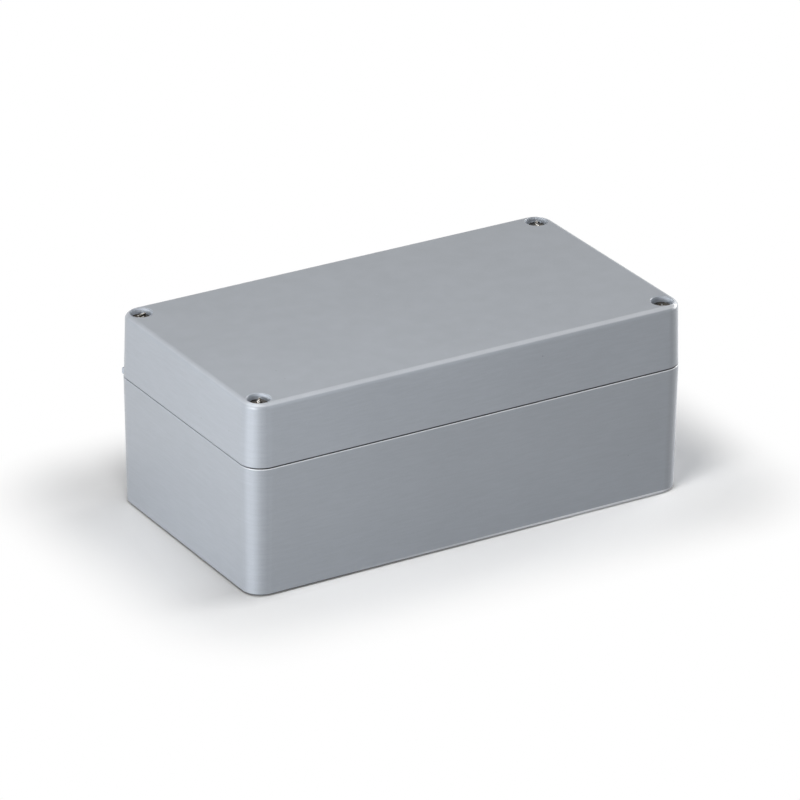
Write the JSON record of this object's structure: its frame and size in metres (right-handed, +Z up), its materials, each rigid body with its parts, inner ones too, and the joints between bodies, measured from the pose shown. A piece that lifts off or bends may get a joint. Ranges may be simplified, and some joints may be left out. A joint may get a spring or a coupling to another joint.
{
  "type": "die cast enclosure",
  "caption": "Rectangular die cast aluminium enclosure with a lift-off lid, a cord seal, captive lid screws in its corners, wall-fixing channels, floor bosses and earth terminals.",
  "frame": {"origin": "middle of the underside, on the surface that the enclosure stands on", "axes": "+X along the length, +Y along the width towards the back, +Z up through the lid, which is also the way the lid lifts off"},
  "size_m": [0.22, 0.12, 0.09],
  "materials": {
    "powder_coated_casting": "die cast aluminium alloy with a thin satin silver-grey powder coat",
    "seal_rubber": "matt black cord seal",
    "plated_steel": "bright plated steel",
    "ring_nylon": "natural nylon"
  },
  "bodies": {
    "base_body": {"base": "powder_coated_casting", "base_earth_screw": "plated_steel", "base_earth_spring_washer": "plated_steel", "base_earth_washer": "plated_steel"},
    "lid_body": {"lid": "powder_coated_casting", "lid_seal": "seal_rubber", "lid_earth_screw": "plated_steel", "lid_earth_spring_washer": "plated_steel", "lid_earth_washer": "plated_steel"},
    "ring_front_left_body": {"ring_front_left": "ring_nylon"},
    "ring_front_right_body": {"ring_front_right": "ring_nylon"},
    "ring_back_left_body": {"ring_back_left": "ring_nylon"},
    "ring_back_right_body": {"ring_back_right": "ring_nylon"},
    "screw_front_left_body": {"screw_front_left": "plated_steel"},
    "screw_front_right_body": {"screw_front_right": "plated_steel"},
    "screw_back_left_body": {"screw_back_left": "plated_steel"},
    "screw_back_right_body": {"screw_back_right": "plated_steel"}
  },
  "joints": [
    {"name": "lid_lift", "type": "slide", "parent": "base_body", "child": "lid_body", "axis": [0, 0, 1], "range_m": [0, 0.1]},
    {"name": "front_left_rise", "type": "slide", "parent": "lid_body", "child": "ring_front_left_body", "axis": [0, 0, 1], "range_m": [0, 0.0088]},
    {"name": "front_left_turn", "type": "hinge", "parent": "ring_front_left_body", "child": "screw_front_left_body", "pos_m": [-0.1015, -0.0515, 0.0846], "axis": [0, 0, 1], "range_deg": [0, 3960]},
    {"name": "front_right_rise", "type": "slide", "parent": "lid_body", "child": "ring_front_right_body", "axis": [0, 0, 1], "range_m": [0, 0.0088]},
    {"name": "front_right_turn", "type": "hinge", "parent": "ring_front_right_body", "child": "screw_front_right_body", "pos_m": [0.1015, -0.0515, 0.0846], "axis": [0, 0, 1], "range_deg": [0, 3960]},
    {"name": "back_left_rise", "type": "slide", "parent": "lid_body", "child": "ring_back_left_body", "axis": [0, 0, 1], "range_m": [0, 0.0088]},
    {"name": "back_left_turn", "type": "hinge", "parent": "ring_back_left_body", "child": "screw_back_left_body", "pos_m": [-0.1015, 0.0515, 0.0846], "axis": [0, 0, 1], "range_deg": [0, 3960]},
    {"name": "back_right_rise", "type": "slide", "parent": "lid_body", "child": "ring_back_right_body", "axis": [0, 0, 1], "range_m": [0, 0.0088]},
    {"name": "back_right_turn", "type": "hinge", "parent": "ring_back_right_body", "child": "screw_back_right_body", "pos_m": [0.1015, 0.0515, 0.0846], "axis": [0, 0, 1], "range_deg": [0, 3960]}
  ],
  "couplings": [
    {"joint": "front_left_turn", "follows": "front_left_rise", "rad_per_m": 7854},
    {"joint": "front_right_turn", "follows": "front_right_rise", "rad_per_m": 7854},
    {"joint": "back_left_turn", "follows": "back_left_rise", "rad_per_m": 7854},
    {"joint": "back_right_turn", "follows": "back_right_rise", "rad_per_m": 7854}
  ]
}
